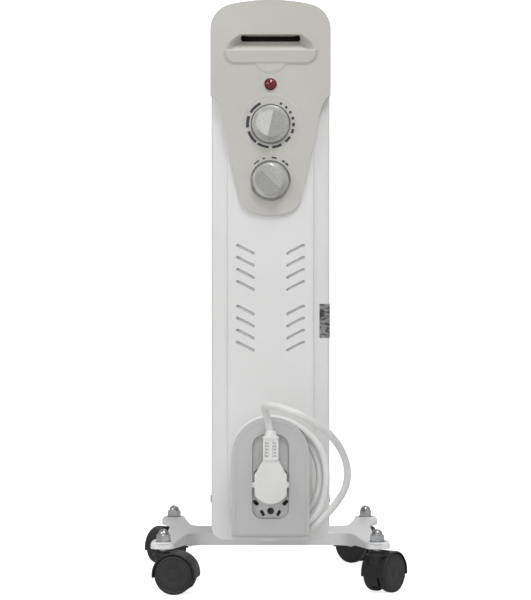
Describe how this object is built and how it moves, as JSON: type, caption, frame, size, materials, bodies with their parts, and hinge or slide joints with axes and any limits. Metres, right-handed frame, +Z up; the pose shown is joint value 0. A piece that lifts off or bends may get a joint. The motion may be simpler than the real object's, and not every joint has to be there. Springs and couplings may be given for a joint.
{
  "type": "oil filled radiator heater",
  "caption": "Oil filled radiator heater: a row of hollow white fins with a control housing, dials, wound mains cord and plug, on a caster base.",
  "frame": {"origin": "on the floor under the middle of the heater's box, its cord left out", "axes": "+Z up, the control panel faces -Y, +X to the panel's right"},
  "size_m": [0.2838, 0.4291, 0.592],
  "materials": {
    "white_enamel": "satin white enamel",
    "fin_enamel": "satin white enamel",
    "zinc_steel": "zinc plated",
    "element_steel": "dull",
    "chrome_nut": "bright",
    "brass_plated": "nickel plated",
    "heating_oil": "mineral oil",
    "panel_grey": "satin moulded plastic",
    "pocket_dark": "matte",
    "store_grey": "satin moulded plastic",
    "knob_silver": "silver paint",
    "lamp_red": "clear red",
    "inner_plastic": "moulded",
    "wire_sleeve": "glass sleeve",
    "cord_white": "soft PVC",
    "plug_white": "moulded",
    "label_film": "printed film, blank",
    "caster_black": "moulded nylon"
  },
  "bodies": {
    "heater": {"base_plate": "white_enamel", "caster_stems": "zinc_steel", "caster_washers": "zinc_steel", "caster_nuts": "chrome_nut", "u_bolts": "zinc_steel", "wing_nuts": "zinc_steel", "neck_saddles": "zinc_steel", "fin_1": "fin_enamel", "fin_2": "fin_enamel", "fin_3": "fin_enamel", "fin_4": "fin_enamel", "fin_5": "fin_enamel", "fin_6": "fin_enamel", "fin_7": "fin_enamel", "oil_fill": "heating_oil", "filler_plug": "zinc_steel", "heating_elements": "element_steel", "element_flange": "zinc_steel", "heat_shield": "zinc_steel", "control_housing": "white_enamel", "control_panel": "panel_grey", "handle_pocket": "pocket_dark", "lamp_lens": "lamp_red", "lamp_body": "inner_plastic", "thermostat_body": "inner_plastic", "switch_body": "inner_plastic", "component_bracket": "zinc_steel", "thermal_cutout": "inner_plastic", "terminal_block": "inner_plastic", "wiring": "wire_sleeve", "cord_gland": "cord_white", "winder_core": "store_grey", "winder_cover": "store_grey", "housing_screws": "zinc_steel", "panel_screws": "zinc_steel", "rating_label": "label_film", "cord_winding": "cord_white", "cord_lead": "cord_white", "plug_body": "plug_white", "plug_contacts": "brass_plated"},
    "thermostat_dial": {"thermostat_knob": "knob_silver", "thermostat_shaft": "zinc_steel"},
    "power_dial": {"power_knob": "knob_silver", "power_shaft": "zinc_steel"},
    "caster_fl": {"caster_fl_body": "caster_black", "caster_fl_axle": "zinc_steel"},
    "wheel_fl_a": {"caster_fl_wheel_a": "caster_black"},
    "wheel_fl_b": {"caster_fl_wheel_b": "caster_black"},
    "caster_fr": {"caster_fr_body": "caster_black", "caster_fr_axle": "zinc_steel"},
    "wheel_fr_a": {"caster_fr_wheel_a": "caster_black"},
    "wheel_fr_b": {"caster_fr_wheel_b": "caster_black"},
    "caster_rl": {"caster_rl_body": "caster_black", "caster_rl_axle": "zinc_steel"},
    "wheel_rl_a": {"caster_rl_wheel_a": "caster_black"},
    "wheel_rl_b": {"caster_rl_wheel_b": "caster_black"},
    "caster_rr": {"caster_rr_body": "caster_black", "caster_rr_axle": "zinc_steel"},
    "wheel_rr_a": {"caster_rr_wheel_a": "caster_black"},
    "wheel_rr_b": {"caster_rr_wheel_b": "caster_black"}
  },
  "joints": [
    {"name": "thermostat_turn", "type": "hinge", "parent": "heater", "child": "thermostat_dial", "pos_m": [0, -0.1536, 0.4705], "axis": [0, 1, 0], "range_deg": [0, 290]},
    {"name": "power_turn", "type": "hinge", "parent": "heater", "child": "power_dial", "pos_m": [0, -0.1536, 0.4155], "axis": [0, 1, 0], "range_deg": [0, 100]},
    {"name": "front_left_swivel", "type": "hinge", "parent": "heater", "child": "caster_fl", "pos_m": [-0.109, -0.07, 0.04], "axis": [0, 0, 1], "continuous": true},
    {"name": "front_left_roll_a", "type": "hinge", "parent": "caster_fl", "child": "wheel_fl_a", "pos_m": [-0.0962, -0.07226, 0.02], "axis": [-0.1736, -0.9848, 0], "continuous": true},
    {"name": "front_left_roll_b", "type": "hinge", "parent": "caster_fl", "child": "wheel_fl_b", "pos_m": [-0.0962, -0.07226, 0.02], "axis": [-0.1736, -0.9848, 0], "continuous": true},
    {"name": "front_right_swivel", "type": "hinge", "parent": "heater", "child": "caster_fr", "pos_m": [0.109, -0.07, 0.04], "axis": [0, 0, 1], "continuous": true},
    {"name": "front_right_roll_a", "type": "hinge", "parent": "caster_fr", "child": "wheel_fr_a", "pos_m": [0.117, -0.05976, 0.02], "axis": [0.788, -0.6157, 0], "continuous": true},
    {"name": "front_right_roll_b", "type": "hinge", "parent": "caster_fr", "child": "wheel_fr_b", "pos_m": [0.117, -0.05976, 0.02], "axis": [0.788, -0.6157, 0], "continuous": true},
    {"name": "rear_left_swivel", "type": "hinge", "parent": "heater", "child": "caster_rl", "pos_m": [-0.109, 0.15, 0.04], "axis": [0, 0, 1], "continuous": true},
    {"name": "rear_left_roll_a", "type": "hinge", "parent": "caster_rl", "child": "wheel_rl_a", "pos_m": [-0.117, 0.13976, 0.02], "axis": [-0.788, 0.6157, 0], "continuous": true},
    {"name": "rear_left_roll_b", "type": "hinge", "parent": "caster_rl", "child": "wheel_rl_b", "pos_m": [-0.117, 0.13976, 0.02], "axis": [-0.788, 0.6157, 0], "continuous": true},
    {"name": "rear_right_swivel", "type": "hinge", "parent": "heater", "child": "caster_rr", "pos_m": [0.109, 0.15, 0.04], "axis": [0, 0, 1], "continuous": true},
    {"name": "rear_right_roll_a", "type": "hinge", "parent": "caster_rr", "child": "wheel_rr_a", "pos_m": [0.09862, 0.15782, 0.02], "axis": [0.6018, 0.7986, 0], "continuous": true},
    {"name": "rear_right_roll_b", "type": "hinge", "parent": "caster_rr", "child": "wheel_rr_b", "pos_m": [0.09862, 0.15782, 0.02], "axis": [0.6018, 0.7986, 0], "continuous": true}
  ]
}
